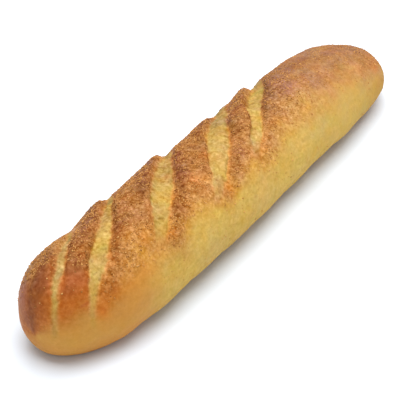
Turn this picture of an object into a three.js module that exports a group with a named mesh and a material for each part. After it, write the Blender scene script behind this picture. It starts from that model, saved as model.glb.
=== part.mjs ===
import * as THREE from "three";

// A short baguette with a blunt near end, a lower, more drawn-out far end and five long slanting slashes.
// Millimetres. X runs along the loaf towards the far end, Y across it, Z up, and the flat underside is z = 0.

// The plain loaf
const LENGTH = 290;
const WIDTH = 58.5;
const HEIGHT = 47;
const WIDEST_AT = 0.42; // share of the height at which the loaf is widest
const NARROWING = -0.015; // of the width, from the middle to the far end
const LOWERING = -0.075; // of the height, from the middle to the far end
const NEAR_END = { plan: 5.1, round: 2.5, top: 11.8, tip: 16.8 }; // powers of the outline, and the tip's height
const FAR_END = { plan: 6.4, round: 2.28, top: 3.1, tip: 11.6 };
const BOW = 2.9; // the sideways bend of the centre line
const SWEEP = -3.8; // the twist of the two ends to opposite sides
const CENTRE_Y = 0.49; // moves the bent loaf so that its box is centred on the origin
const BASE_DEPTH = 0.2; // how far the round underside would reach below the floor, as a share of the belly's height
const BASE_EDGE = 1.0; // half the height over which the side runs into the flat base

// The slashes, from the near end on. Each runs between its back and front points in plan. Its near and far edges
// lie aside of that line, towards the far end of the loaf, by these distances at even shares of the run. The ear
// is the height of the raised near edge and the fall the drop of the far side.
const SLASHES = [
  {
    back: [-99.8, 21.4],
    front: [-141.2, -7.9],
    near: [-2.2, -3.9, -4.2, -4.5, -4.6],
    far: [0.5, 0.8, 1.5, 0.2, -2.4],
    depth: 3,
    ear: 0.4,
    fall: 0.6,
  },
  {
    back: [-65.3, 26.4],
    front: [-126.6, -18.1],
    near: [-0.8, -2.9, -3.2, -3.7, -4.8],
    far: [2.8, 2.9, 4.9, 4.5, -1.5],
    depth: 3.5,
    ear: 1,
    fall: 0.35,
  },
  {
    back: [-17, 26.9],
    front: [-80.6, -20],
    near: [-1.3, -4.2, -6, -6.3, -4],
    far: [3.2, 2.5, 3.1, 2.8, 0.5],
    depth: 2.3,
    ear: 3.3,
    fall: 0,
  },
  {
    back: [28.5, 27.3],
    front: [-37.7, -22.8],
    near: [-1.1, -4.1, -6, -4.1, -4.5],
    far: [3.9, 2.8, 4, 4.5, -1],
    depth: 3.2,
    ear: 0.3,
    fall: 2.2,
  },
  {
    back: [63.9, 32.2],
    front: [-0.4, -19],
    near: [3.2, -1.2, -2.9, -1.3, -2],
    far: [9.3, 7.5, 4.7, 5, 1],
    depth: 4.6,
    ear: 2.5,
    fall: 0.3,
  },
];
const BACK_END = 0.16; // share of the run over which a slash deepens from its back end
const FRONT_END = 0.35;
const NEAR_WALL = 2.0; // how far outside its edges a slash's walls reach
const FAR_WALL = 3.0;
const WALL_FOOT = 1.2; // and how far inside them
const EAR_REACH = 11;
const FALL_REACH = 15;
const FLOOR_DOME = 0.12; // how much of its depth a slash's floor swells back up in the middle

// Soft swellings of the crust: height, waves per millimetre along and per turn around, phase
const SWELLINGS = [
  { height: 0.35, along: 0.081, around: 1, phase: 0.6 },
  { height: 0.25, along: 0.143, around: -2, phase: 2.1 },
  { height: 0.2, along: 0.217, around: 3, phase: 4.0 },
];
// Lumps and hollows: place along and around the loaf, height and length
const LUMPS = [
  { x: -99, degrees: 38, height: -1.1, long: 11 },
  { x: -123, degrees: 38, height: 1.2, long: 9 },
  { x: 111, degrees: 46, height: 1.3, long: 9 },
  { x: -112, degrees: 203, height: 1.2, long: 9 },
  { x: -86, degrees: 203, height: 0.8, long: 26 },
  { x: -40, degrees: 203, height: -0.7, long: 9 },
  { x: -18, degrees: 203, height: 0.4, long: 9 },
  { x: 48, degrees: 203, height: -1.1, long: 13 },
  { x: 75, degrees: 203, height: 1.1, long: 9 },
  { x: 106, degrees: 203, height: 0.6, long: 9 },
];
const LUMP_WIDE = 30; // degrees
const TIP_FADE = 12; // length over which slashes, swellings and lumps die out towards each tip

// The mesh
const SLASHED_STEP = 1.75; // between rings where the loaf is slashed
const PLAIN_STEP = 4.6;
const SLASHED_TO = 64; // the x at which the slashes end
const CAP = 5; // length of each rounded cap
const CAP_RINGS = 6;
const UPPER_SIDES = 29; // edges of a ring above the belly
const LOWER_SIDES = 11;
const SLANT = 34; // how far the rings lean along the loaf, so that they follow the slashes
const LEVEL_TO = 0.45; // share of the way to a tip up to which they lean fully
const CRUST = { color: 0xb9834a, roughness: 0.85, metalness: 0 };

const { clamp, lerp, radToDeg, smoothstep } = THREE.MathUtils;

// Half the width, the belly's height, the rise above and drop below it, and the centre line, at x.
function sectionAt(x) {
  const along = clamp((2 * x) / LENGTH, -1, 1);
  const end = along < 0 ? NEAR_END : FAR_END;
  const far = Math.abs(along);
  const plan = Math.max(1 - far ** end.plan, 0) ** (1 / end.round);
  const top = Math.max(1 - far ** end.top, 0) ** (1 / end.round);
  const widest = WIDEST_AT * HEIGHT;
  const belly = widest + (end.tip - widest) * far ** 4;
  return {
    halfWidth: (WIDTH / 2) * (1 + NARROWING * along) * plan,
    belly,
    rise: (HEIGHT * (1 + LOWERING * along) - belly) * top,
    drop: widest * (1 + BASE_DEPTH) * top,
    centre: CENTRE_Y + BOW * (along ** 2 - 1 / 3) + SWEEP * along ** 3,
  };
}

// The plain loaf's surface at x and an angle around it, 0 at the back (+Y) and a quarter turn at the top.
function plainPoint(x, angle) {
  const { halfWidth, belly, rise, drop, centre } = sectionAt(x);
  const up = Math.sin(angle);
  return new THREE.Vector3(x, centre + halfWidth * Math.cos(angle), belly + (up > 0 ? rise : drop) * up);
}

function plainNormal(x, angle) {
  const inner = LENGTH / 2 - 0.4;
  const at = clamp(x, -inner, inner);
  const along = plainPoint(at + 0.2, angle).sub(plainPoint(at - 0.2, angle));
  const around = plainPoint(at, angle + 0.01).sub(plainPoint(at, angle - 0.01));
  return around.cross(along).normalize();
}

// The value at a share of a slash's run, from values at even spacing.
function between(values, share) {
  const place = clamp(share, 0, 1) * (values.length - 1);
  const before = Math.min(Math.floor(place), values.length - 2);
  return lerp(values[before], values[before + 1], place - before);
}

// The relief of one slash at a point in plan.
function slashRelief(slash, x, y) {
  const runX = slash.front[0] - slash.back[0];
  const runY = slash.front[1] - slash.back[1];
  const run = Math.hypot(runX, runY);
  const fromX = x - slash.back[0];
  const fromY = y - slash.back[1];
  const share = (fromX * runX + fromY * runY) / run ** 2; // 0 at the back end, 1 at the front end
  const aside = (fromY * runX - fromX * runY) / run; // towards the far end of the loaf
  const near = between(slash.near, share);
  const far = between(slash.far, share);
  const half = (far - near) / 2;
  const off = aside - (near + far) / 2;
  const dome = FLOOR_DOME * Math.max(1 - (off / half / 0.8) ** 2, 0);
  const depth = slash.depth * smoothstep(share, 0, BACK_END) * smoothstep(1 - share, 0, FRONT_END) * (1 - dome);
  const nearWall = smoothstep(aside, near - NEAR_WALL, near + WALL_FOOT);
  const farWall = 1 - smoothstep(aside, far - WALL_FOOT, far + FAR_WALL);
  const beside = smoothstep(share, -0.25, 0.1) * smoothstep(1 - share, -0.15, 0.35);
  let edge;
  if (off < 0) {
    const fade = Math.exp(-((Math.max(near - aside, 0) / EAR_REACH) ** 1.2));
    edge = slash.ear * fade * smoothstep(-off, 0.3 * half, half + NEAR_WALL);
  } else {
    const fade = Math.exp(-((Math.max(aside - far, 0) / FALL_REACH) ** 1.2));
    edge = -slash.fall * fade * smoothstep(off, 0.3 * half, half + FAR_WALL);
  }
  return edge * beside - depth * nearWall * farWall;
}

function relief(x, y, angle) {
  const upper = smoothstep(Math.sin(angle), 0, 0.35);
  let height = 0;
  for (const slash of SLASHES) height += upper * slashRelief(slash, x, y);
  for (const wave of SWELLINGS) height += wave.height * Math.sin(wave.along * x + wave.around * angle + wave.phase);
  for (const lump of LUMPS) {
    const away = ((x - lump.x) / lump.long) ** 2 + ((radToDeg(angle) - lump.degrees) / LUMP_WIDE) ** 2;
    height += lump.height * Math.exp(-away);
  }
  return height * smoothstep(LENGTH / 2 - Math.abs(x), 0, TIP_FADE);
}

// Runs the side into the flat base in a short round.
function onFloor(z) {
  if (z < -BASE_EDGE) return 0;
  if (z > BASE_EDGE) return z;
  return (z + BASE_EDGE) ** 2 / (4 * BASE_EDGE);
}

// A ring's lean at x: full along the middle and none at the caps.
function lean(x) {
  return SLANT * (1 - smoothstep(Math.abs((2 * x) / LENGTH), LEVEL_TO, 1));
}

function ringPlaces() {
  const tip = LENGTH / 2;
  const places = [];
  for (let i = 1; i < CAP_RINGS; i += 1) places.push(-tip + CAP * (i / CAP_RINGS) ** 2);
  const stretches = [
    [-tip + CAP, SLASHED_TO, SLASHED_STEP],
    [SLASHED_TO, tip - CAP, PLAIN_STEP],
  ];
  for (const [from, to, step] of stretches) {
    const count = Math.round((to - from) / step);
    for (let i = 0; i < count; i += 1) places.push(from + ((to - from) * i) / count);
  }
  for (let i = CAP_RINGS; i > 0; i -= 1) places.push(tip - CAP * (i / CAP_RINGS) ** 2);
  return places;
}

function ringAngles() {
  const angles = [];
  for (let i = 0; i < UPPER_SIDES; i += 1) angles.push((Math.PI * i) / UPPER_SIDES);
  for (let i = 0; i < LOWER_SIDES; i += 1) angles.push(Math.PI * (1 + i / LOWER_SIDES));
  return angles;
}

function loafGeometry() {
  const places = ringPlaces();
  const angles = ringAngles();
  const sides = angles.length;
  const positions = [];
  for (const place of places) {
    for (const angle of angles) {
      const x = place + lean(place) * Math.cos(angle);
      const plain = plainPoint(x, angle);
      const lift = relief(x, plain.y, angle);
      const point = plain.addScaledVector(plainNormal(x, angle), lift);
      positions.push(point.x, point.y, onFloor(point.z));
    }
  }
  for (const tip of [-LENGTH / 2, LENGTH / 2]) {
    const { belly, centre } = sectionAt(tip);
    positions.push(tip, centre, belly);
  }
  const nearTip = places.length * sides;
  const farTip = nearTip + 1;
  const lastRing = (places.length - 1) * sides;
  const faces = [];
  for (let j = 0; j < sides; j += 1) {
    const next = (j + 1) % sides;
    faces.push(nearTip, next, j);
    faces.push(farTip, lastRing + j, lastRing + next);
    for (let i = 0; i < places.length - 1; i += 1) {
      const a = i * sides + j;
      const b = i * sides + next;
      const c = a + sides;
      const d = b + sides;
      faces.push(a, b, c, b, d, c);
    }
  }
  const geometry = new THREE.BufferGeometry();
  geometry.setAttribute("position", new THREE.Float32BufferAttribute(positions, 3));
  geometry.setIndex(faces);
  geometry.computeVertexNormals();
  return geometry;
}

const loaf = new THREE.Mesh(loafGeometry(), new THREE.MeshStandardMaterial(CRUST));
loaf.name = "baguette";

const object = new THREE.Group();
object.add(loaf);

export default object;
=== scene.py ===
"""A short baguette: its baked crust, the semolina on it, and a white studio floor with soft light.

The crust takes the solid's own form, drawn finely enough for rough slash edges, torn slash floors and
wrinkles. Form lengths are in millimetres and turn to metres when a mesh is made. x runs from the near tip,
at its lowest, to the far tip. An angle round the loaf is 0 at the back, 90 degrees at the top, 180 at the
front and 270 underneath.
"""

import math

import bpy
import numpy as np
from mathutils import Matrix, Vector, noise


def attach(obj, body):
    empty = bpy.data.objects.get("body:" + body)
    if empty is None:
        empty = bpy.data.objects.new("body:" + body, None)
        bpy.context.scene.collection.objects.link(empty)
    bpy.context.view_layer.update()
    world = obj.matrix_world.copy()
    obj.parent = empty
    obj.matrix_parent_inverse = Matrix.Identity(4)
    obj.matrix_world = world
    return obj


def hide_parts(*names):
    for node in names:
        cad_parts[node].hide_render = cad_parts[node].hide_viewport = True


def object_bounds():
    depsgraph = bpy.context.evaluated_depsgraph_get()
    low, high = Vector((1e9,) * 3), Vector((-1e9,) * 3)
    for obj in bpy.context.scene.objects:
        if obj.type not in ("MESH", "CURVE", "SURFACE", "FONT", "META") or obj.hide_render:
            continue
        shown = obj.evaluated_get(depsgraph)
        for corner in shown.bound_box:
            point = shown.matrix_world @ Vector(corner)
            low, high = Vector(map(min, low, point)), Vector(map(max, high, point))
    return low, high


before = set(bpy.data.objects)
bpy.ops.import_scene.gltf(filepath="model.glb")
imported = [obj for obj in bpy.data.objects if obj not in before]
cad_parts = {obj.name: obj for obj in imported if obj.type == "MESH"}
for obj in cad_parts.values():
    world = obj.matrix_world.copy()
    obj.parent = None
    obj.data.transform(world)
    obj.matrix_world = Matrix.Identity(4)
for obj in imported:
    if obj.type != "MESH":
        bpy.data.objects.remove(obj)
solid_low, solid_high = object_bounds()

MM = 0.001

# Camera, floor and light, in metres
CAMERA_AT = Vector((-0.40959, -0.27115, 0.40084))
CAMERA_AIM = Vector((-0.01601, 0.00635, 0.00923))
CAMERA_LENS = 106.94
CAMERA_SENSOR = 36
FLOOR_SIZE = 6.0
FLOOR_COLOUR = (0.8, 0.86, 0.93)
FLOOR_ROUGHNESS = 0.9
SKY_STRENGTH = 0.52
KEY_LIGHT = {"at": Vector((0.15, 0.05, 1.2)), "size": 1.2, "power": 21.8}

# The plain loaf, as in the solid
LENGTH = (solid_high.x - solid_low.x) / MM
WIDTH = 58.5
HEIGHT = 47
WIDEST_AT = 0.42  # share of the height at which the loaf is widest
NARROWING = -0.015  # of the width, from the middle to the far end
LOWERING = -0.075  # of the height, from the middle to the far end
NEAR_END = {"plan": 5.1, "round": 2.5, "top": 11.8, "tip": 16.8}  # the outlines' powers, and the tip's height
FAR_END = {"plan": 6.4, "round": 2.28, "top": 3.1, "tip": 11.6}
BOW = 2.9  # the sideways bend of the centre line
SWEEP = -3.8  # the twist of the two ends to opposite sides
CENTRE_Y = 0.49
BASE_DEPTH = 0.2  # how far the round underside would reach below the floor, as a share of the belly's height
BASE_EDGE = 1.0  # half the height over which the side runs into the flat base

# How the slashes are shaped, as in the solid but with steeper walls
BACK_END = 0.16  # share of the run over which a slash deepens from its back end
FRONT_END = 0.35
NEAR_WALL = 1.5  # how far outside its edges a slash's walls reach
FAR_WALL = 3.0
WALL_FOOT = 0.8  # and how far inside them
BESIDE_BEGINS = (-0.25, 0.1)  # the shares of the run between which the ear and the fall begin
BESIDE_ENDS = (-0.15, 0.35)  # and those, from the front end back, between which they end
EAR_REACH = 11  # the distances beside a slash at which the ear and the fall are about a third as high
FALL_REACH = 15
REACH_POWER = 1.2
EDGE_FOOT = 0.3  # how far from the middle of the floor, as a share of its half, an ear or a fall begins
FLOOR_DOME = 0.12  # how much of its depth a slash's floor swells back up, and over how much of its width
DOME_WIDE = 0.8

# Soft swellings of the crust: height, radians per millimetre along, waves per turn around, and phase
SWELLINGS = (
    {"height": 0.35, "along": 0.081, "around": 1, "phase": 0.6},
    {"height": 0.25, "along": 0.143, "around": -2, "phase": 2.1},
    {"height": 0.2, "along": 0.217, "around": 3, "phase": 4.0},
)
# Lumps and hollows: place along and around the loaf, height and length
LUMPS = (
    {"x": -99, "degrees": 38, "height": -1.1, "long": 11},
    {"x": -123, "degrees": 38, "height": 1.2, "long": 9},
    {"x": 111, "degrees": 46, "height": 1.3, "long": 9},
    {"x": -112, "degrees": 203, "height": 1.2, "long": 9},
    {"x": -86, "degrees": 203, "height": 0.8, "long": 26},
    {"x": -40, "degrees": 203, "height": -0.7, "long": 9},
    {"x": -18, "degrees": 203, "height": 0.4, "long": 9},
    {"x": 48, "degrees": 203, "height": -1.1, "long": 13},
    {"x": 75, "degrees": 203, "height": 1.1, "long": 9},
    {"x": 106, "degrees": 203, "height": 0.6, "long": 9},
)
LUMP_WIDE = 30  # degrees
TIP_FADE = 12  # length over which slashes, swellings and lumps die out towards each tip
TIP_INSET = 0.4  # how far from a tip the form's direction is still measured
STEP_ALONG = 0.2  # and the steps it is measured over, the second in radians
STEP_AROUND = 0.01

# The slashes from the near end on. Each runs straight from its back to its front end, and its near and far
# edges lie this far aside from that line at the shares of the run. The edges are the solid's, moved by up to
# 2 mm. "floor" is how much browner its floor is, "rim" how strongly the crust beside it is browned, and
# "tail" how brown its floor is at the front end.
SHARES = (0, 0.25, 0.5, 0.75, 1)
SLASHES = (
    {
        "back": (-99.8, 21.4),
        "front": (-141.2, -7.9),
        "near": (-2.2, -3.0, -5.1, -5.2, -5.6),
        "far": (0.6, -0.2, 1.1, -0.8, -2.0),
        "depth": 3,
        "ear": 0.4,
        "fall": 0.6,
        "floor": 0.08,
        "rim": 0.7,
        "tail": 0.24,
    },
    {
        "back": (-65.3, 26.4),
        "front": (-126.6, -18.1),
        "near": (-1.0, -2.3, -4.0, -5.5, -5.3),
        "far": (2.8, 2.4, 4.2, 4.1, -2.2),
        "depth": 3.5,
        "ear": 1,
        "fall": 0.35,
        "floor": 0,
        "rim": 0.85,
        "tail": 0.32,
    },
    {
        "back": (-17, 26.9),
        "front": (-80.6, -20),
        "near": (-1.3, -4.4, -7.0, -7.6, -5.3),
        "far": (3.0, 2.3, 3.9, 3.2, 0.5),
        "depth": 2.3,
        "ear": 3.3,
        "fall": 0,
        "floor": 0,
        "rim": 1.6,
        "tail": 0.38,
    },
    {
        "back": (28.5, 27.3),
        "front": (-37.7, -22.8),
        "near": (-0.6, -5.0, -7.7, -6.0, -4.9),
        "far": (5.8, 3.9, 5.6, 4.8, 0),
        "depth": 3.2,
        "ear": 0.3,
        "fall": 2.2,
        "floor": 0,
        "rim": 1.0,
        "tail": 0.42,
    },
    {
        "back": (63.9, 32.2),
        "front": (-0.4, -19),
        "near": (3.2, -1.0, -4.7, -2.2, -3.2),
        "far": (9.3, 7.5, 4.8, 5.3, 1.4),
        "depth": 4.6,
        "ear": 2.5,
        "fall": 0.3,
        "floor": 0,
        "rim": 0.85,
        "tail": 0.56,
    },
)

UPPER_SIDE = (0, 0.35)  # the sines of the angle between which slashes come in

# Fine relief of the crust
SEED_STEPS = (17.3, 5.1, 9.7)  # from one seed's noise to the next seed's
EDGE_WANDER = 0.8  # how far a slash's edges stray from a smooth line
EDGE_WANDER_SIZE = 5.0  # how long the waves of it are, as with each size below
EDGE_WANDER_BACK = 0.7  # the share of it at the back end, which grows by 1 up to the front end
EDGE_TEETH = 0.4  # how far the small teeth on these edges stand out
EDGE_TEETH_SIZE = 1.6
WRINKLE = 0.3  # height of the wrinkles of uncut crust
WRINKLE_SIZE = 9.0
PIMPLE = 0.16  # and of its pimples
PIMPLE_SIZE = 2.2
TEAR = 0.3  # height of the strands on a torn slash floor
TEAR_LONG = 4.0  # size of the strands along and across the slash
TEAR_WIDE = 1.3
TEAR_RUN = 80  # about a slash's length
TEAR_APART = 9  # so that no two slashes tear alike
POCK = 0.35  # depth of the small holes in a slash floor
POCK_SIZE = 2.2
POCKED = (0.35, 0.7)  # the noise at which a hole begins, and at which it is whole
SHINE_SMOOTHS = 0.7  # the share of the pimples that is missing where the crust is smooth
RAGGED = (0, 0.3)  # the shares of a slash's reach between which its edges grow rough
OFF_FLOOR = (1, 6)  # the heights between which wrinkles come in

# The crust's mesh
SLASHED_STEP = 0.56  # between rings where the loaf is slashed
PLAIN_STEP = 1.1
SLASHED_TO = 64  # the x at which the slashes end
CAP = 5  # length of each rounded cap
CAP_RINGS = 14
UPPER_SIDES = 160  # edges of a ring above the belly
LOWER_SIDES = 48
SLANT = 34  # how far a ring leans along x on the back and the front, so that it runs along the slashes
LEVEL_TO = 0.45  # the share of half the length from which rings straighten, to stand upright at the tips

# How brown the crust is, from 0 for the palest to 1, by the angle round the loaf in degrees
BAKE_ANGLES = (0, 20, 40, 70, 90, 105, 120, 132, 145, 158, 185, 215, 240, 300, 345, 360)
TIP_BAKE = (0.5, 0.53, 0.64, 0.9, 0.8, 0.65, 0.54, 0.48, 0.36, 0.12, 0.08, 0.14, 0.2, 0.3, 0.45, 0.55)
SHOULDER_BAKE = (0.4, 0.32, 0.38, 0.74, 0.74, 0.72, 0.6, 0.52, 0.4, 0.26, 0.1, 0.25, 0.45, 0.45, 0.3, 0.4)
MIDDLE_BAKE = (0.3, 0.5, 0.68, 0.71, 0.62, 0.53, 0.45, 0.33, 0.15, 0.06, 0.03, 0.15, 0.45, 0.45, 0.2, 0.3)
FAR_BAKE = (0.4, 0.5, 0.64, 0.76, 0.69, 0.57, 0.44, 0.31, 0.18, 0.09, 0.06, 0.2, 0.45, 0.45, 0.25, 0.4)
FAR_TIP_BAKE = (0.4, 0.5, 0.58, 0.66, 0.69, 0.68, 0.64, 0.58, 0.46, 0.31, 0.24, 0.35, 0.5, 0.5, 0.4, 0.4)
BAKE_PLACES = (-137, -116, -80, 30, 85, 125)  # the middle's bake holds between the third and the fourth
BAKE_LOBE = 11  # degrees by which the brown reaches lower at a slash's front end
BAKE_LOBE_LONG = 9
BAKE_LOBE_IN = 4  # how far the lobe lies from the front end, towards the far tip
BAKE_WAVES = 7  # degrees by which the brown's lower edge waves
BAKE_WAVES_SIZE = 26
WAVY_FROM = (100, 125)  # the angles between which the brown's edge begins to wave, and where it stops
WAVY_TO = (165, 185)

# The smooth chestnut crust of the near end, in x, and in degrees where it says angle
SMOOTH_SLASH = 1  # on top it ends at this slash
SMOOTH_TO = (-126, -96)  # it ends at the first x on top and at the second low on the front
SMOOTH_LOW_ANGLE = (95, 160)
SMOOTH_BLEND = 12  # half the length over which it ends, and how far that end strays
SMOOTH_WANDER = 3
SMOOTH_WANDER_SIZE = 7.0
SMOOTH_TOP_ANGLE = (60, 80)
SMOOTH_UNDER_ANGLE = (230, 270)
SMOOTH_TIP = (-140, -133)
SMOOTH_SLASH_EDGE = (1, 2)  # from this far before the slash's near edge to this far past it
SMOOTH_PAST_ANGLE = (130, 155)  # below this it goes on past the slash
CUT_NOT_SMOOTH = 0.9  # the share of the smoothness that a slash's floor loses

# How much browner or paler the crust is beside a slash, by the distance outside its near and its far edge
BESIDE = (-0.6, 0.2, 1.0, 2.0, 3.5, 5.5, 8.0, 12.0)
NEAR_SIDE_BAKE = (-0.1, -0.06, 0.06, 0.17, 0.22, 0.17, 0.06, 0.0)
FAR_SIDE_BAKE = (-0.12, -0.06, 0.07, 0.16, 0.19, 0.14, 0.03, 0.0)
NEAR_SIDE_FADE = (1.6, 1.5, 1.2, 0.5, 0.0)  # of these brownings, at even shares of the run
FAR_SIDE_FADE = (0.4, 0.7, 1.15, 1.1, 0.1)
FLOOR_BAKE = (0.6, 0.53, 0.46, 0.43)  # of a slash's floor, at even shares of its run before the tail
STREAK_BAKE = 0.04  # how much browner the strands and the small holes of the floor are
POCK_BAKE = 0.15
RIM_WARM = 0.12  # of a slash's edges, and how wide they are
RIM_WIDE = 1.4

# Where a slash's floor, its loose crumb and its torn strands begin and end: shares of the run, or
# distances inside an edge
FLOOR_BEGINS = (0, 0.06)
FLOOR_ENDS = (0.98, 1.06)
FLOOR_EDGE = (-1, 1.8)
CRUMB_ENDS = (0.82, 1.12)
CRUMB_EDGE = (-0.2, 1.4)
TORN_EDGE = 1.0
TORN_FAR_EDGE = 1.3

# Places that are browner or paler, or warmer or yellower, than the crust about them. The paler one on the
# ridge between the fourth and fifth slashes is a painted highlight
PATCHES = (
    {"x": -133, "degrees": 155, "long": 5, "wide": 9, "bake": -0.1, "warm": -0.3},
    {"x": -130, "degrees": 144, "long": 2.5, "wide": 1.5, "bake": 0.2, "warm": 0.0},
    {"x": -125, "degrees": 160, "long": 3, "wide": 8, "bake": 0.06, "warm": 0.8},
    {"x": -137, "degrees": 138, "long": 6, "wide": 12, "bake": -0.03, "warm": 0.5},
    {"x": -108, "degrees": 72, "long": 5, "wide": 8, "bake": -0.12, "warm": -0.2},
    {"x": -117, "degrees": 58, "long": 6, "wide": 8, "bake": -0.08, "warm": -0.6},
    {"x": -118, "degrees": 78, "long": 2.5, "wide": 4, "bake": 0.06, "warm": -0.3},
    {"x": -118, "degrees": 101, "long": 3, "wide": 5, "bake": 0.05, "warm": 0.4},
    {"x": -105, "degrees": 105, "long": 4, "wide": 5, "bake": 0.04, "warm": -0.3},
    {"x": -121, "degrees": 133, "long": 5, "wide": 8, "bake": 0.08, "warm": 0.3},
    {"x": -117, "degrees": 140, "long": 5, "wide": 9, "bake": 0.1, "warm": 0.3},
    {"x": -99, "degrees": 146, "long": 12, "wide": 10, "bake": 0.03, "warm": 0.5},
    {"x": -87, "degrees": 122, "long": 4, "wide": 8, "bake": -0.1, "warm": 0.4},
    {"x": -98, "degrees": 97, "long": 13, "wide": 12, "bake": 0.2, "warm": 0.3},
    {"x": -68, "degrees": 117, "long": 13, "wide": 6, "bake": 0.18, "warm": 0.2},
    {"x": -122, "degrees": 120, "long": 8, "wide": 9, "bake": 0.06, "warm": 0.0},
    {"x": -65, "degrees": 86, "long": 5, "wide": 5, "bake": 0.12, "warm": 0.0},
    {"x": -47, "degrees": 80, "long": 4, "wide": 4, "bake": 0.0, "warm": 0.4},
    {"x": -78, "degrees": 118, "long": 4, "wide": 5, "bake": 0.0, "warm": -0.4},
    {"x": -76, "degrees": 134, "long": 4, "wide": 5, "bake": 0.05, "warm": 0.7},
    {"x": -40, "degrees": 107, "long": 5, "wide": 7, "bake": 0.0, "warm": 0.5},
    {"x": -12, "degrees": 117, "long": 7, "wide": 5, "bake": 0.15, "warm": 0.0},
    {"x": -21, "degrees": 93, "long": 6, "wide": 5, "bake": -0.05, "warm": 0.4},
    {"x": -36, "degrees": 121, "long": 3, "wide": 4, "bake": -0.08, "warm": -0.5},
    {"x": -29, "degrees": 136, "long": 4, "wide": 5, "bake": 0.03, "warm": 0.8},
    {"x": -27, "degrees": 155, "long": 8, "wide": 9, "bake": -0.04, "warm": -0.2},
    {"x": -44, "degrees": 148, "long": 6, "wide": 6, "bake": -0.04, "warm": 0.1},
    {"x": -3, "degrees": 129, "long": 7, "wide": 6, "bake": -0.1, "warm": 0.3},
    {"x": 3, "degrees": 115, "long": 3, "wide": 4, "bake": -0.12, "warm": -0.8},
    {"x": 8, "degrees": 131, "long": 3, "wide": 5, "bake": 0.05, "warm": 0.7},
    {"x": 86, "degrees": 71, "long": 8, "wide": 8, "bake": 0.25, "warm": 0.0},
    {"x": 104, "degrees": 84, "long": 4, "wide": 5, "bake": 0.1, "warm": 0.0},
    # painted highlight: this paler, cooler patch on the ridge stands for a highlight there, not for paler
    # crust
    {"x": 25, "degrees": 60, "long": 6, "wide": 8, "bake": -0.12, "warm": -0.2},
    {"x": 62, "degrees": 86, "long": 9, "wide": 7, "bake": -0.08, "warm": 0.0},
    {"x": 0, "degrees": 102, "long": 10, "wide": 6, "bake": -0.12, "warm": 0.1},
    {"x": 122, "degrees": 140, "long": 4, "wide": 7, "bake": 0.03, "warm": 0.7},
)

# Crust colours from palest to darkest: how brown, then red, green, blue on screen under white light
CRUST_RAMP = (
    (0.0, (206, 170, 86)),
    (0.12, (198, 160, 77)),
    (0.25, (191, 144, 67)),
    (0.4, (183, 129, 65)),
    (0.55, (169, 113, 54)),
    (0.7, (155, 100, 48)),
    (0.85, (142, 88, 40)),
    (1.0, (125, 73, 34)),
)
CHESTNUT_RAMP = (
    (0.0, (205, 150, 65)),
    (0.15, (199, 139, 59)),
    (0.3, (192, 128, 52)),
    (0.42, (185, 114, 41)),
    (0.55, (175, 98, 36)),
    (0.7, (164, 89, 34)),
    (0.85, (146, 79, 33)),
    (1.0, (125, 68, 33)),
)

# Shifts of the three screen colours, for a full unit of each cause
SPECK_SHIFT = (1.0, 1.0, 1.0)
WARM_SHIFT = (0.8, -0.3, -0.6)
GOLDEN_SHIFT = (0.12, 0.1, -1.0)
CRUMB_SHIFT = (-0.02, 0.066, 0.05)  # of a slash's floor
DUST_AND_SHEEN_SHIFT = (-0.04, 0.0, 0.075)
WARMTH = 0.06  # of a patch with a warm of 1

# How strong the noise in the colour is: on pale crust, and what is taken off or added for other crust
BROWN = (0.15, 0.55)  # the brownness at which crust stops being pale, and at which it is fully brown
FAR_HALF = (30, 85)
GRAINY = {"pale": 0.3, "far": -0.62, "smooth": -0.6, "cut": -0.3}
UNEVEN = {"pale": 0.4, "far_pale": -0.15, "far_brown": 0.5, "smooth": -0.35}
MOTLEY = {"pale": 0.7, "smooth": -0.5, "cut": 0.15}

# Flour dust towards the far end, less of it below the top, and on the top; on the back a paler, bluer layer
# laid on the same way, partly flour dust and partly a painted sheen along the back's upper edge
DUSTY_FAR = (-40, 90)
DUSTY_FAR_LOW = {"angles": (95, 130), "less": 0.6}
BACK_DUST_AND_SHEEN = {"angles": (45, 65), "dust_and_sheen": 0.9}
DUSTY_TOP = {"angles": (95, 115), "dust_and_sheen": 0.15}
DUSTY_UP = (0.1, 0.6)  # the sines of the angle between which dust comes in

# Layers of noise in the colour: the size of the spots in millimetres, a seed and the strength
BROAD_NOISE = ((18, 1, 0.09), (7, 2, 0.08))
SPECK_NOISE = ((1.3, 7, 0.1), (2.6, 3, 0.08))
HUE_NOISE = ((5, 8, 0.014), (12, 9, 0.02))
GOLDEN_NOISE = ((6, 10, 0.02), (15, 11, 0.028))
NOISE_SPAN = (0.3, 0.7)  # what most of Blender's noise lies between
DARKEST = 0.01
SCREEN_GAMMA = 2.2

# Surface finish
MATT_ROUGHNESS = 0.78
SMOOTH_ROUGHNESS = 0.5
CRUST_SPECULAR = 0.12
BUMP_STRENGTH = 0.6
BUMP_HEIGHT = 0.3
BUMP_NOISE = ((0.8, 3, 5), (2.0, 2, 6))  # the size of the spots, the detail and a seed
GRAIN_ROUGHNESS = 0.7
GRAIN_SPECULAR = 0.15
GRAIN_NOISE_SIZE = 0.4
GRAIN_NOISE = 0.1

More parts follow.
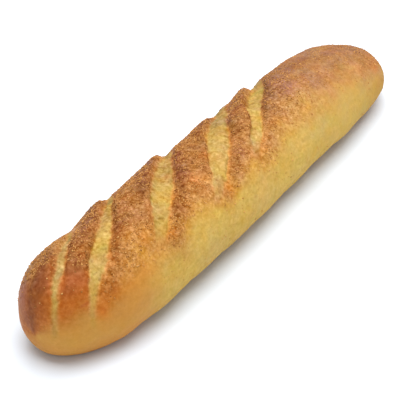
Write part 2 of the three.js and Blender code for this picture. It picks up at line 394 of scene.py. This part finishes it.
# Semolina: how many grains, their size, how far they sink, how toasted they are, how likely they are on pale
# crust and how much likelier on brown, between which levels of brownness, and how much rarer far away
GRAINS = (
    {
        "name": "semolina",
        "count": 6500,
        "size": (0.5, 1.05),
        "sink": 0.4,
        "toast": (0.1, 0.75),
        "on_pale": 0.015,
        "on_brown": 1.0,
        "brown": (0.2, 0.6),
        "rarer_far": 0.7,
        "seed": 11,
    },
    {
        "name": "meal",
        "count": 9000,
        "size": (0.3, 0.55),
        "sink": 0.35,
        "toast": (0.0, 0.6),
        "on_pale": 0.15,
        "on_brown": 0.85,
        "brown": (0.15, 0.5),
        "rarer_far": 0.3,
        "seed": 12,
    },
    {
        "name": "crumbs",
        "count": 2200,
        "size": (0.4, 0.95),
        "sink": 0.4,
        "toast": (0.8, 1.0),
        "on_pale": 0.0,
        "on_brown": 1.0,
        "brown": (0.35, 0.7),
        "rarer_far": 0.9,
        "seed": 13,
    },
)
GRAIN_RAMP = (
    (0.0, (214, 163, 98)),
    (0.4, (190, 134, 71)),
    (0.75, (165, 109, 49)),
    (1.0, (115, 64, 23)),
)
LOWEST_GRAIN = 2.0
GRAINS_COME_IN = 10  # the height over which they do, from the lowest
GRAINS_FAR = (40, 90)
GRAINS_OFF_CUT = 0.5  # none on crust that is cut this much
GRAINS_OFF_SMOOTH = {"smooth": 0.8, "fewer": 0.97}
CLUMP_SIZE = 7.0
CLUMPED = (-0.5, 0.5)
BETWEEN_CLUMPS = 0.25
GRAIN_DENTS = 0.22
GRAIN_WIDTH = (0.6, 0.95)  # as shares of a grain's length
GRAIN_THICKNESS = (0.5, 0.8)


# ---- form ----


def smoothstep(x, low, high):
    share = np.clip((x - low) / (high - low), 0, 1)
    return share * share * (3 - 2 * share)


def section_at(x):
    """Half the width, the belly's height, the rise above and drop below it, and the centre line, at x."""
    along = np.clip(2 * x / LENGTH, -1, 1)
    far = np.abs(along)
    end = {key: np.where(along < 0, NEAR_END[key], FAR_END[key]) for key in NEAR_END}
    plan = np.maximum(1 - far ** end["plan"], 0) ** (1 / end["round"])
    top = np.maximum(1 - far ** end["top"], 0) ** (1 / end["round"])
    widest = WIDEST_AT * HEIGHT
    belly = widest + (end["tip"] - widest) * far**4
    half_width = WIDTH / 2 * (1 + NARROWING * along) * plan
    rise = (HEIGHT * (1 + LOWERING * along) - belly) * top
    drop = widest * (1 + BASE_DEPTH) * top
    centre = CENTRE_Y + BOW * (along**2 - 1 / 3) + SWEEP * along**3
    return half_width, belly, rise, drop, centre


def plain_point(x, angle):
    """The plain loaf's surface at x and an angle round it, 0 at the back and a quarter turn at the top."""
    half_width, belly, rise, drop, centre = section_at(x)
    up = np.sin(angle)
    height = belly + np.where(up > 0, rise, drop) * up
    return np.stack([x, centre + half_width * np.cos(angle), height], -1)


def unit(vectors):
    return vectors / np.maximum(np.linalg.norm(vectors, axis=-1, keepdims=True), 1e-12)


def plain_normal(x, angle):
    inner = LENGTH / 2 - TIP_INSET
    at = np.clip(x, -inner, inner)
    along = plain_point(at + STEP_ALONG, angle) - plain_point(at - STEP_ALONG, angle)
    around = plain_point(at, angle + STEP_AROUND) - plain_point(at, angle - STEP_AROUND)
    return unit(np.cross(around, along))


def slash_place(slash, x, y):
    """Where a point lies on a slash: the share of its run, the distance aside, and the edges' there."""
    run_x = slash["front"][0] - slash["back"][0]
    run_y = slash["front"][1] - slash["back"][1]
    run = math.hypot(run_x, run_y)
    from_x = x - slash["back"][0]
    from_y = y - slash["back"][1]
    share = (from_x * run_x + from_y * run_y) / run**2
    aside = (from_y * run_x - from_x * run_y) / run
    return share, aside, np.interp(share, SHARES, slash["near"]), np.interp(share, SHARES, slash["far"])


def slash_reach(share):
    return smoothstep(share, 0, BACK_END) * smoothstep(1 - share, 0, FRONT_END)


def slash_relief(slash, share, aside, near, far):
    half = (far - near) / 2
    off = aside - (near + far) / 2
    dome = FLOOR_DOME * np.maximum(1 - (off / half / DOME_WIDE) ** 2, 0)
    depth = slash["depth"] * slash_reach(share) * (1 - dome)
    near_wall = smoothstep(aside, near - NEAR_WALL, near + WALL_FOOT)
    far_wall = 1 - smoothstep(aside, far - WALL_FOOT, far + FAR_WALL)
    beside = smoothstep(share, *BESIDE_BEGINS) * smoothstep(1 - share, *BESIDE_ENDS)
    ear = slash["ear"] * np.exp(-((np.maximum(near - aside, 0) / EAR_REACH) ** REACH_POWER))
    fall = -slash["fall"] * np.exp(-((np.maximum(aside - far, 0) / FALL_REACH) ** REACH_POWER))
    ear *= smoothstep(-off, EDGE_FOOT * half, half + NEAR_WALL)
    fall *= smoothstep(off, EDGE_FOOT * half, half + FAR_WALL)
    return np.where(off < 0, ear, fall) * beside - depth * near_wall * far_wall


def swelling(x, angle):
    degrees = np.degrees(angle)
    height = np.zeros_like(x)
    for wave in SWELLINGS:
        height += wave["height"] * np.sin(wave["along"] * x + wave["around"] * angle + wave["phase"])
    for lump in LUMPS:
        off = (degrees - lump["degrees"]) / LUMP_WIDE
        away = ((x - lump["x"]) / lump["long"]) ** 2 + off**2
        height += lump["height"] * np.exp(-away)
    return height


def on_floor(z):
    soft = (z + BASE_EDGE) ** 2 / (4 * BASE_EDGE)
    return np.where(z < -BASE_EDGE, 0, np.where(z > BASE_EDGE, z, soft))


def lean(x):
    return SLANT * (1 - smoothstep(np.abs(2 * x / LENGTH), LEVEL_TO, 1))


def ripples(points, size, octaves=2, seed=0):
    """Smooth noise of about -1 to 1, whose waves are about as long as size."""
    shift = Vector([seed * step for step in SEED_STEPS])
    scaled = points.reshape(-1, 3) / size
    values = [noise.fractal(Vector(point) + shift, 1.0, 2.0, octaves) for point in scaled.tolist()]
    return np.array(values).reshape(points.shape[:-1])


# ---- crust ----


def ring_places():
    tip = LENGTH / 2
    places = [-tip + CAP * (i / CAP_RINGS) ** 2 for i in range(1, CAP_RINGS)]
    for start, stop, step in ((-tip + CAP, SLASHED_TO, SLASHED_STEP), (SLASHED_TO, tip - CAP, PLAIN_STEP)):
        places += list(np.linspace(start, stop, round((stop - start) / step), endpoint=False))
    places += [tip - CAP * (i / CAP_RINGS) ** 2 for i in range(CAP_RINGS, 0, -1)]
    return np.array(places)


def ring_angles():
    upper = np.linspace(0, math.pi, UPPER_SIDES, endpoint=False)
    lower = np.linspace(math.pi, 2 * math.pi, LOWER_SIDES, endpoint=False)
    return np.concatenate([upper, lower])


def plain_bake(x, angle, plain):
    """How brown the crust is away from the slashes."""
    reach = BAKE_WAVES * ripples(plain, BAKE_WAVES_SIZE, seed=1)
    for slash in SLASHES:
        away = x - slash["front"][0] - BAKE_LOBE_IN
        reach = reach + BAKE_LOBE * np.exp(-((away / BAKE_LOBE_LONG) ** 2))
    degrees = np.degrees(angle)
    lobed = degrees - reach * smoothstep(degrees, *WAVY_FROM) * (1 - smoothstep(degrees, *WAVY_TO))
    stations = (TIP_BAKE, SHOULDER_BAKE, MIDDLE_BAKE, MIDDLE_BAKE, FAR_BAKE, FAR_TIP_BAKE)
    here = np.interp(x, BAKE_PLACES, range(len(stations)))
    bake = np.zeros_like(x)
    for number, station in enumerate(stations):
        bake += np.maximum(1 - np.abs(here - number), 0) * np.interp(lobed, BAKE_ANGLES, station)
    return bake


def slash_bake(slash, bake, share, aside, near, far):
    """How brown the crust is on and beside a slash, where its bake is this without the slash."""
    nearer = aside < (near + far) / 2
    outside = np.where(nearer, near - aside, aside - far)
    browned = np.where(
        nearer,
        np.interp(outside, BESIDE, NEAR_SIDE_BAKE) * np.interp(share, SHARES, NEAR_SIDE_FADE),
        np.interp(outside, BESIDE, FAR_SIDE_BAKE) * np.interp(share, SHARES, FAR_SIDE_FADE),
    )
    browned *= np.where(browned > 0, slash["rim"], 1)
    floor = slash["floor"] + np.interp(share, SHARES, (*FLOOR_BAKE, slash["tail"]))
    return bake + browned + (floor - bake - browned) * smoothstep(-outside, *FLOOR_EDGE)


def chestnut(degrees, x, plain):
    """How much of the smooth chestnut crust of the near end there is."""
    on_top, low = SMOOTH_TO
    stop = on_top + (low - on_top) * smoothstep(degrees, *SMOOTH_LOW_ANGLE)
    strayed = x + SMOOTH_WANDER * ripples(plain, SMOOTH_WANDER_SIZE, seed=9)
    above = smoothstep(degrees, *SMOOTH_TOP_ANGLE) * (1 - smoothstep(degrees, *SMOOTH_UNDER_ANGLE))
    round_tip = 1 - smoothstep(strayed, *SMOOTH_TIP)
    ended = smoothstep(strayed, stop - SMOOTH_BLEND, stop + SMOOTH_BLEND)
    return (1 - ended) * np.maximum(above, round_tip)


def between_edges(aside, near, far):
    """How much of a slash's torn floor there is this far aside, from 0 outside its edges to 1."""
    past_near = smoothstep(aside, near - TORN_EDGE, near + TORN_EDGE)
    past_far = smoothstep(aside, far - TORN_FAR_EDGE, far + TORN_EDGE)
    return past_near * (1 - past_far)


def torn_strands(number, share, aside):
    """The strands that the floor of the slash of this number is torn into, as noise of about -1 to 1."""
    level = np.full_like(share, number * TEAR_APART)
    along_tear = np.stack([share * TEAR_RUN / TEAR_LONG, aside / TEAR_WIDE, level], -1)
    return ripples(along_tear, 1.0, seed=4)


def uncut_relief(plain, cut, shine):
    """The wrinkles and pimples of the crust off the slashes, with lower pimples where it is smooth."""
    fine = WRINKLE * ripples(plain, WRINKLE_SIZE, seed=5)
    fine += PIMPLE * ripples(plain, PIMPLE_SIZE, seed=6) * (1 - SHINE_SMOOTHS * shine)
    return smoothstep(plain[..., 2], *OFF_FLOOR) * (1 - cut) * fine


def patchwork(x, degrees, key):
    """What all the patches together add to the bake or the warmth."""
    total = np.zeros_like(x)
    for patch in PATCHES:
        off = (degrees - patch["degrees"]) / patch["wide"]
        away = ((x - patch["x"]) / patch["long"]) ** 2 + off**2
        total += patch[key] * np.exp(-away)
    return total


def noise_strengths(x, bake, cut, shine):
    """How strong the grain, the uneven browning and the motley hue are."""
    brown = smoothstep(bake, *BROWN)
    far = smoothstep(x, *FAR_HALF)
    grainy = GRAINY["pale"] + (1 - GRAINY["pale"]) * brown
    grainy *= (1 + GRAINY["far"] * far) * (1 + GRAINY["smooth"] * shine) * (1 + GRAINY["cut"] * cut)
    uneven = UNEVEN["pale"] + UNEVEN["far_pale"] * far + (1 - UNEVEN["pale"]) * brown
    uneven *= (1 + UNEVEN["smooth"] * shine) * (1 + UNEVEN["far_brown"] * far * brown)
    motley = MOTLEY["pale"] + (1 - MOTLEY["pale"]) * brown
    motley = motley * (1 + MOTLEY["smooth"] * shine) + MOTLEY["cut"] * cut
    return grainy, uneven, motley


def flour_dust_and_back_sheen(x, angle, cut, shine):
    """How much flour dust lies on the crust; on the back this is partly dust and partly a painted sheen."""
    degrees = np.degrees(angle)
    lower = DUSTY_FAR_LOW["less"] * smoothstep(degrees, *DUSTY_FAR_LOW["angles"])
    far = smoothstep(x, *DUSTY_FAR) * (1 - lower)
    # painted sheen: the back, below 45 to 65 degrees, is made paler and bluer, partly as flour dust and
    # partly as a painted grazing sheen
    back = BACK_DUST_AND_SHEEN["dust_and_sheen"] * (1 - smoothstep(degrees, *BACK_DUST_AND_SHEEN["angles"]))
    top = DUSTY_TOP["dust_and_sheen"] * (1 - smoothstep(degrees, *DUSTY_TOP["angles"])) * (1 - shine)
    most = np.maximum(far, np.maximum(back, top))
    return (1 - cut) * most * smoothstep(np.sin(angle), *DUSTY_UP)


def crust_form(places, angles):
    """The crust's points, how much of a slash's floor each is, and the numbers that make its colour."""
    place, angle = np.meshgrid(places, angles, indexing="ij")
    x = place + lean(place) * np.cos(angle)
    degrees = np.degrees(angle)
    plain = plain_point(x, angle)
    upper = smoothstep(np.sin(angle), *UPPER_SIDE)
    wander = EDGE_WANDER * ripples(plain, EDGE_WANDER_SIZE, seed=2)
    teeth = EDGE_TEETH * ripples(plain, EDGE_TEETH_SIZE, seed=3)
    pocks = smoothstep(ripples(plain, POCK_SIZE, seed=7), *POCKED)

    lift = swelling(x, angle)
    cut = np.zeros_like(x)
    crumb = np.zeros_like(x)
    warm = patchwork(x, degrees, "warm")
    # the patches include a painted highlight on the ridge between the fourth and fifth slashes
    bake = plain_bake(x, angle, plain) + patchwork(x, degrees, "bake")
    shine = chestnut(degrees, x, plain)
    for number, slash in enumerate(SLASHES):
        share, aside, near, far = slash_place(slash, x, plain[..., 1])
        reach = slash_reach(share) * upper
        ragged = aside + (wander * (EDGE_WANDER_BACK + share) + teeth) * smoothstep(reach, *RAGGED)
        lift += upper * slash_relief(slash, share, ragged, near, far)
        along = smoothstep(share, *FLOOR_BEGINS) * (1 - smoothstep(share, *FLOOR_ENDS)) * upper
        inside = between_edges(ragged, near, far) * along
        cut = np.maximum(cut, inside)
        from_edge = np.minimum(ragged - near, far - ragged)
        pale_run = 1 - smoothstep(share, *CRUMB_ENDS)
        crumb = np.maximum(crumb, smoothstep(from_edge, *CRUMB_EDGE) * along * pale_run)
        warm += RIM_WARM * along * np.exp(-((from_edge / RIM_WIDE) ** 2))
        strands = torn_strands(number, share, aside)
        lift += inside * (TEAR * strands - POCK * pocks)
        torn = slash_bake(slash, bake, share, ragged, near, far)
        torn += inside * (STREAK_BAKE * strands + POCK_BAKE * pocks)
        bake += along * (torn - bake)
        if number == SMOOTH_SLASH:
            past = smoothstep(aside, near - SMOOTH_SLASH_EDGE[0], near + SMOOTH_SLASH_EDGE[1])
            shine *= 1 - past * (1 - smoothstep(degrees, *SMOOTH_PAST_ANGLE))

    shine *= 1 - CUT_NOT_SMOOTH * cut
    lift += uncut_relief(plain, cut, shine)
    from_tip = smoothstep(LENGTH / 2 - np.abs(x), 0, TIP_FADE)
    points = plain + plain_normal(x, angle) * (from_tip * lift)[..., None]
    points[..., 2] = on_floor(points[..., 2])

    grainy, uneven, motley = noise_strengths(x, bake, cut, shine)
    looks = {
        "bake": bake,
        "shine": shine,
        "warm": warm,
        "crumb": crumb,
        "dust_and_sheen": flour_dust_and_back_sheen(x, angle, cut, shine),
        "grainy": grainy,
        "uneven": uneven,
        "motley": motley,
    }
    return points, cut, looks


def closed_faces(rings, sides):
    """Quads between rings, and a fan of triangles to a point at each end: the last two points."""
    ring = np.arange(rings - 1)[:, None] * sides
    side = np.arange(sides)[None]
    beside = (side + 1) % sides
    quads = np.stack([ring + side, ring + beside, ring + sides + beside, ring + sides + side], -1)
    near_tip = rings * sides
    last = (rings - 1) * sides
    fans = [(near_tip, (j + 1) % sides, j) for j in range(sides)]
    fans += [(near_tip + 1, last + j, last + (j + 1) % sides) for j in range(sides)]
    return quads.reshape(-1, 4).tolist() + fans


def new_piece(name, points, faces, attributes, material):
    """A smooth mesh object made of points in millimetres, with a named number on each point."""
    mesh = bpy.data.meshes.new(name)
    mesh.from_pydata((points * MM).tolist(), [], faces)
    for key, values in attributes.items():
        numbers = mesh.attributes.new(key, "FLOAT", "POINT")
        numbers.data.foreach_set("value", np.ravel(values).astype(np.float32))
    mesh.shade_smooth()
    mesh.materials.append(material)
    piece = bpy.data.objects.new(name, mesh)
    bpy.context.scene.collection.objects.link(piece)
    return piece


def make_crust(material):
    places = ring_places()
    angles = ring_angles()
    points, cut, looks = crust_form(places, angles)
    tips = np.array([-LENGTH / 2, LENGTH / 2])
    _, belly, _, _, centre = section_at(tips)
    ends = np.stack([tips, centre, belly], -1)
    flat = np.concatenate([points.reshape(-1, 3), ends])
    values = {key: np.concatenate([grid.ravel(), grid[[0, -1], 0]]) for key, grid in looks.items()}
    crust = new_piece("crust", flat, closed_faces(len(places), len(angles)), values, material)
    return crust, points, cut, looks


# ---- semolina ----


def pebble():
    """The corners and faces of an icosahedron of half-size 1."""
    golden = (1 + math.sqrt(5)) / 2
    corners = []
    for a in (-1, 1):
        for b in (-golden, golden):
            corners += [(a, b, 0), (0, a, b), (b, 0, a)]
    corners = np.array(corners) / math.hypot(1, golden)
    longest_edge = 1.2
    faces = []
    for i in range(len(corners)):
        for j in range(i + 1, len(corners)):
            for k in range(j + 1, len(corners)):
                trio = corners[[i, j, k]]
                spans = [np.linalg.norm(trio[0] - trio[1]), np.linalg.norm(trio[1] - trio[2])]
                spans.append(np.linalg.norm(trio[2] - trio[0]))
                if max(spans) < longest_edge:
                    outward = np.dot(np.cross(trio[1] - trio[0], trio[2] - trio[0]), trio.sum(0)) > 0
                    faces.append((i, j, k) if outward else (i, k, j))
    return corners, np.array(faces)


def grain_likelihood(kind, points, cut, looks):
    """How likely a grain of this kind is on each patch of crust, for its area."""
    corner = (slice(-1), slice(-1))
    along = points[1:, :-1] - points[:-1, :-1]
    around = points[:-1, 1:] - points[:-1, :-1]
    area = np.linalg.norm(np.cross(along, around), axis=-1)
    smooth = smoothstep(looks["shine"][corner], 0, GRAINS_OFF_SMOOTH["smooth"])
    open_crust = 1 - smoothstep(cut[corner], 0.0, GRAINS_OFF_CUT)
    open_crust *= 1 - GRAINS_OFF_SMOOTH["fewer"] * smooth
    high = smoothstep(points[corner][..., 2], LOWEST_GRAIN, LOWEST_GRAIN + GRAINS_COME_IN)
    far = smoothstep(points[corner][..., 0], *GRAINS_FAR)
    brown = kind["on_pale"] + kind["on_brown"] * smoothstep(looks["bake"][corner], *kind["brown"])
    likely = open_crust * brown * (1 - kind["rarer_far"] * far)
    clumps = smoothstep(ripples(points[corner], CLUMP_SIZE, seed=8), *CLUMPED)
    return area * high * likely * (BETWEEN_CLUMPS + (1 - BETWEEN_CLUMPS) * clumps)


def make_grains(kind, points, cut, looks, material):
    """One piece with all the grains of a kind, each a dented pebble partly sunk in the crust."""
    random = np.random.default_rng(kind["seed"])
    weight = grain_likelihood(kind, points, cut, looks)
    patches = random.choice(weight.size, kind["count"], p=(weight / weight.sum()).ravel())
    i, j = np.unravel_index(patches, weight.shape)
    count = len(i)
    along = points[i + 1, j] - points[i, j]
    around = points[i, j + 1] - points[i, j]
    place = points[i, j] + along * random.random((count, 1)) + around * random.random((count, 1))
    up = unit(np.cross(around, along))
    turn = random.random((count, 3)) - 0.5
    side = unit(np.cross(up, turn))
    front = np.cross(up, side)
    low, high = kind["size"]
    long = low + (high - low) * random.random(count) ** 2
    wide = long * random.uniform(*GRAIN_WIDTH, count)
    thick = long * random.uniform(*GRAIN_THICKNESS, count)
    sizes = np.stack([long, wide, thick], -1)
    corners, faces = pebble()
    dents = 1 + random.uniform(-GRAIN_DENTS, GRAIN_DENTS, (count, len(corners), 1))
    shape = corners[None] * dents * sizes[:, None] / 2
    centre = place + up * (sizes[:, 2:] / 2) * (1 - 2 * kind["sink"])
    body = shape[..., :1] * side[:, None] + shape[..., 1:2] * front[:, None] + shape[..., 2:] * up[:, None]
    all_points = (body + centre[:, None]).reshape(-1, 3)
    all_faces = (faces[None] + len(corners) * np.arange(count)[:, None, None]).reshape(-1, 3)
    least, most = kind["toast"]
    toast = np.repeat(least + (most - least) * random.random(count), len(corners))
    piece = new_piece(kind["name"], all_points, all_faces.tolist(), {"toast": toast}, material)
    piece.data.shade_flat()
    return piece


# ---- materials ----


def linear(colour):
    """A screen colour of 0 to 255 as linear light."""
    shares = [part / 255 for part in colour]
    light = [part / 12.92 if part <= 0.04045 else ((part + 0.055) / 1.055) ** 2.4 for part in shares]
    return (*light, 1.0)


def fresh_material(name):
    material = bpy.data.materials.new(name)
    material.use_nodes = True
    tree = material.node_tree
    tree.nodes.clear()
    output = tree.nodes.new("ShaderNodeOutputMaterial")
    surface = tree.nodes.new("ShaderNodeBsdfPrincipled")
    tree.links.new(surface.outputs["BSDF"], output.inputs["Surface"])
    return material, tree, surface


def attribute(tree, name):
    node = tree.nodes.new("ShaderNodeAttribute")
    node.attribute_name = name
    return node.outputs["Fac"]


def arithmetic(tree, operation, first, second, clamp=False):
    node = tree.nodes.new("ShaderNodeMath")
    node.operation = operation
    node.use_clamp = clamp
    for socket, value in zip(node.inputs, (first, second)):
        if isinstance(value, (int, float)):
            socket.default_value = value
        else:
            tree.links.new(value, socket)
    return node.outputs["Value"]


def speckle(tree, size, detail=2.0, seed=0.0):
    """Noise of 0 to 1 whose spots are about size millimetres wide."""
    where = tree.nodes.new("ShaderNodeTexCoord")
    node = tree.nodes.new("ShaderNodeTexNoise")
    node.noise_dimensions = "4D"
    node.inputs["W"].default_value = seed
    node.inputs["Scale"].default_value = 1 / (size * MM)
    node.inputs["Detail"].default_value = detail
    tree.links.new(where.outputs["Object"], node.inputs["Vector"])
    return node.outputs["Fac"]


def from_range(tree, value, low, high, to_low=0.0, to_high=1.0):
    node = tree.nodes.new("ShaderNodeMapRange")
    node.inputs["From Min"].default_value = low
    node.inputs["From Max"].default_value = high
    node.inputs["To Min"].default_value = to_low
    node.inputs["To Max"].default_value = to_high
    tree.links.new(value, node.inputs["Value"])
    return node.outputs["Result"]


def colour_ramp(tree, value, stops):
    node = tree.nodes.new("ShaderNodeValToRGB")
    elements = node.color_ramp.elements
    while len(elements) < len(stops):
        elements.new(0.5)
    for element, (position, colour) in zip(elements, stops):
        element.position = position
        element.color = linear(colour)
    tree.links.new(value, node.inputs["Fac"])
    return node.outputs["Color"]


def mixed_colour(tree, share, first, second):
    node = tree.nodes.new("ShaderNodeMix")
    node.data_type = "RGBA"
    tree.links.new(share, node.inputs["Factor"])
    for name, value in (("A", first), ("B", second)):
        socket = next(s for s in node.inputs if s.name == name and s.type == "RGBA")
        if isinstance(value, tuple):
            socket.default_value = value
        else:
            tree.links.new(value, socket)
    return next(s for s in node.outputs if s.type == "RGBA")


def powered(tree, colour, power):
    node = tree.nodes.new("ShaderNodeGamma")
    node.inputs["Gamma"].default_value = power
    tree.links.new(colour, node.inputs["Color"])
    return node.outputs["Color"]


def shifted(tree, colour, amount, step):
    """The colour with each part moved by the amount times its step."""
    node = tree.nodes.new("ShaderNodeVectorMath")
    node.operation = "MULTIPLY_ADD"
    tree.links.new(amount, node.inputs[0])
    node.inputs[1].default_value = step
    tree.links.new(colour, node.inputs[2])
    return node.outputs["Vector"]


def no_less_than_darkest(tree, colour):
    node = tree.nodes.new("ShaderNodeVectorMath")
    node.operation = "MAXIMUM"
    tree.links.new(colour, node.inputs[0])
    node.inputs[1].default_value = (DARKEST, DARKEST, DARKEST)
    return node.outputs["Vector"]


def colour_noise(tree, layers, strength):
    """Layers of noise about 0, added up and multiplied by a strength."""
    total = 0.0
    for size, seed, most in layers:
        layer = from_range(tree, speckle(tree, size, seed=seed), *NOISE_SPAN, -most, most)
        total = arithmetic(tree, "ADD", total, layer)
    return arithmetic(tree, "MULTIPLY", total, strength)


def crust_material():
    material, tree, surface = fresh_material("baked_crust")
    shine = attribute(tree, "shine")
    motley = attribute(tree, "motley")
    broad = colour_noise(tree, BROAD_NOISE, attribute(tree, "uneven"))
    browning = arithmetic(tree, "ADD", attribute(tree, "bake"), broad, clamp=True)
    rough_crust = colour_ramp(tree, browning, CRUST_RAMP)
    smooth_crust = colour_ramp(tree, browning, CHESTNUT_RAMP)
    screen = powered(tree, mixed_colour(tree, shine, rough_crust, smooth_crust), 1 / SCREEN_GAMMA)

    patch_warmth = arithmetic(tree, "MULTIPLY", attribute(tree, "warm"), WARMTH)
    hue = arithmetic(tree, "ADD", colour_noise(tree, HUE_NOISE, motley), patch_warmth)
    screen = shifted(tree, screen, colour_noise(tree, SPECK_NOISE, attribute(tree, "grainy")), SPECK_SHIFT)
    screen = shifted(tree, screen, hue, WARM_SHIFT)
    screen = shifted(tree, screen, colour_noise(tree, GOLDEN_NOISE, motley), GOLDEN_SHIFT)
    # flour dust, and on the back a painted sheen, make the crust paler and bluer
    screen = shifted(tree, screen, attribute(tree, "dust_and_sheen"), DUST_AND_SHEEN_SHIFT)
    screen = shifted(tree, screen, attribute(tree, "crumb"), CRUMB_SHIFT)
    colour = powered(tree, no_less_than_darkest(tree, screen), SCREEN_GAMMA)
    tree.links.new(colour, surface.inputs["Base Color"])

    roughness = from_range(tree, shine, 0, 1, MATT_ROUGHNESS, SMOOTH_ROUGHNESS)
    tree.links.new(roughness, surface.inputs["Roughness"])
    surface.inputs["Specular IOR Level"].default_value = CRUST_SPECULAR

    bump = tree.nodes.new("ShaderNodeBump")
    bump.inputs["Strength"].default_value = BUMP_STRENGTH
    bump.inputs["Distance"].default_value = BUMP_HEIGHT * MM
    relief = arithmetic(tree, "ADD", *(speckle(tree, *layer) for layer in BUMP_NOISE))
    tree.links.new(relief, bump.inputs["Height"])
    tree.links.new(bump.outputs["Normal"], surface.inputs["Normal"])
    return material


def grain_material():
    material, tree, surface = fresh_material("toasted_semolina")
    spots = from_range(tree, speckle(tree, GRAIN_NOISE_SIZE), 0, 1, -GRAIN_NOISE, GRAIN_NOISE)
    toast = arithmetic(tree, "ADD", attribute(tree, "toast"), spots)
    tree.links.new(colour_ramp(tree, toast, GRAIN_RAMP), surface.inputs["Base Color"])
    surface.inputs["Roughness"].default_value = GRAIN_ROUGHNESS
    surface.inputs["Specular IOR Level"].default_value = GRAIN_SPECULAR
    return material


# ---- studio ----


def place_camera():
    lens = bpy.data.cameras.new("camera")
    lens.lens = CAMERA_LENS
    lens.sensor_width = CAMERA_SENSOR
    camera = bpy.data.objects.new("camera", lens)
    camera.location = CAMERA_AT
    camera.rotation_euler = (CAMERA_AIM - CAMERA_AT).to_track_quat("-Z", "Y").to_euler()
    bpy.context.scene.collection.objects.link(camera)
    bpy.context.scene.camera = camera


def make_floor():
    half = FLOOR_SIZE / 2
    mesh = bpy.data.meshes.new("floor")
    corners = [(-half, -half, 0), (half, -half, 0), (half, half, 0), (-half, half, 0)]
    mesh.from_pydata(corners, [], [(0, 1, 2, 3)])
    material, tree, surface = fresh_material("white_table")
    surface.inputs["Base Color"].default_value = (*FLOOR_COLOUR, 1)
    surface.inputs["Roughness"].default_value = FLOOR_ROUGHNESS
    surface.inputs["Specular IOR Level"].default_value = 0.0
    mesh.materials.append(material)
    floor = bpy.data.objects.new("floor", mesh)
    bpy.context.scene.collection.objects.link(floor)


def make_light():
    world = bpy.data.worlds.new("white_room")
    world.use_nodes = True
    background = world.node_tree.nodes["Background"]
    background.inputs["Color"].default_value = (1, 1, 1, 1)
    background.inputs["Strength"].default_value = SKY_STRENGTH
    bpy.context.scene.world = world
    key = bpy.data.lights.new("key", "AREA")
    key.shape = "SQUARE"
    key.size = KEY_LIGHT["size"]
    key.energy = KEY_LIGHT["power"]
    lamp = bpy.data.objects.new("key", key)
    lamp.location = KEY_LIGHT["at"]
    lamp.rotation_euler = (-KEY_LIGHT["at"]).to_track_quat("-Z", "Y").to_euler()
    bpy.context.scene.collection.objects.link(lamp)
    bpy.context.scene.view_settings.view_transform = "Standard"


# ---- the whole ----

place_camera()
crust, crust_points, crust_cut, crust_looks = make_crust(crust_material())
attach(crust, "root")
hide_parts("baguette")
semolina_finish = grain_material()
for grain_kind in GRAINS:
    grains = make_grains(grain_kind, crust_points, crust_cut, crust_looks, semolina_finish)
    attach(grains, "root")
make_floor()
make_light()
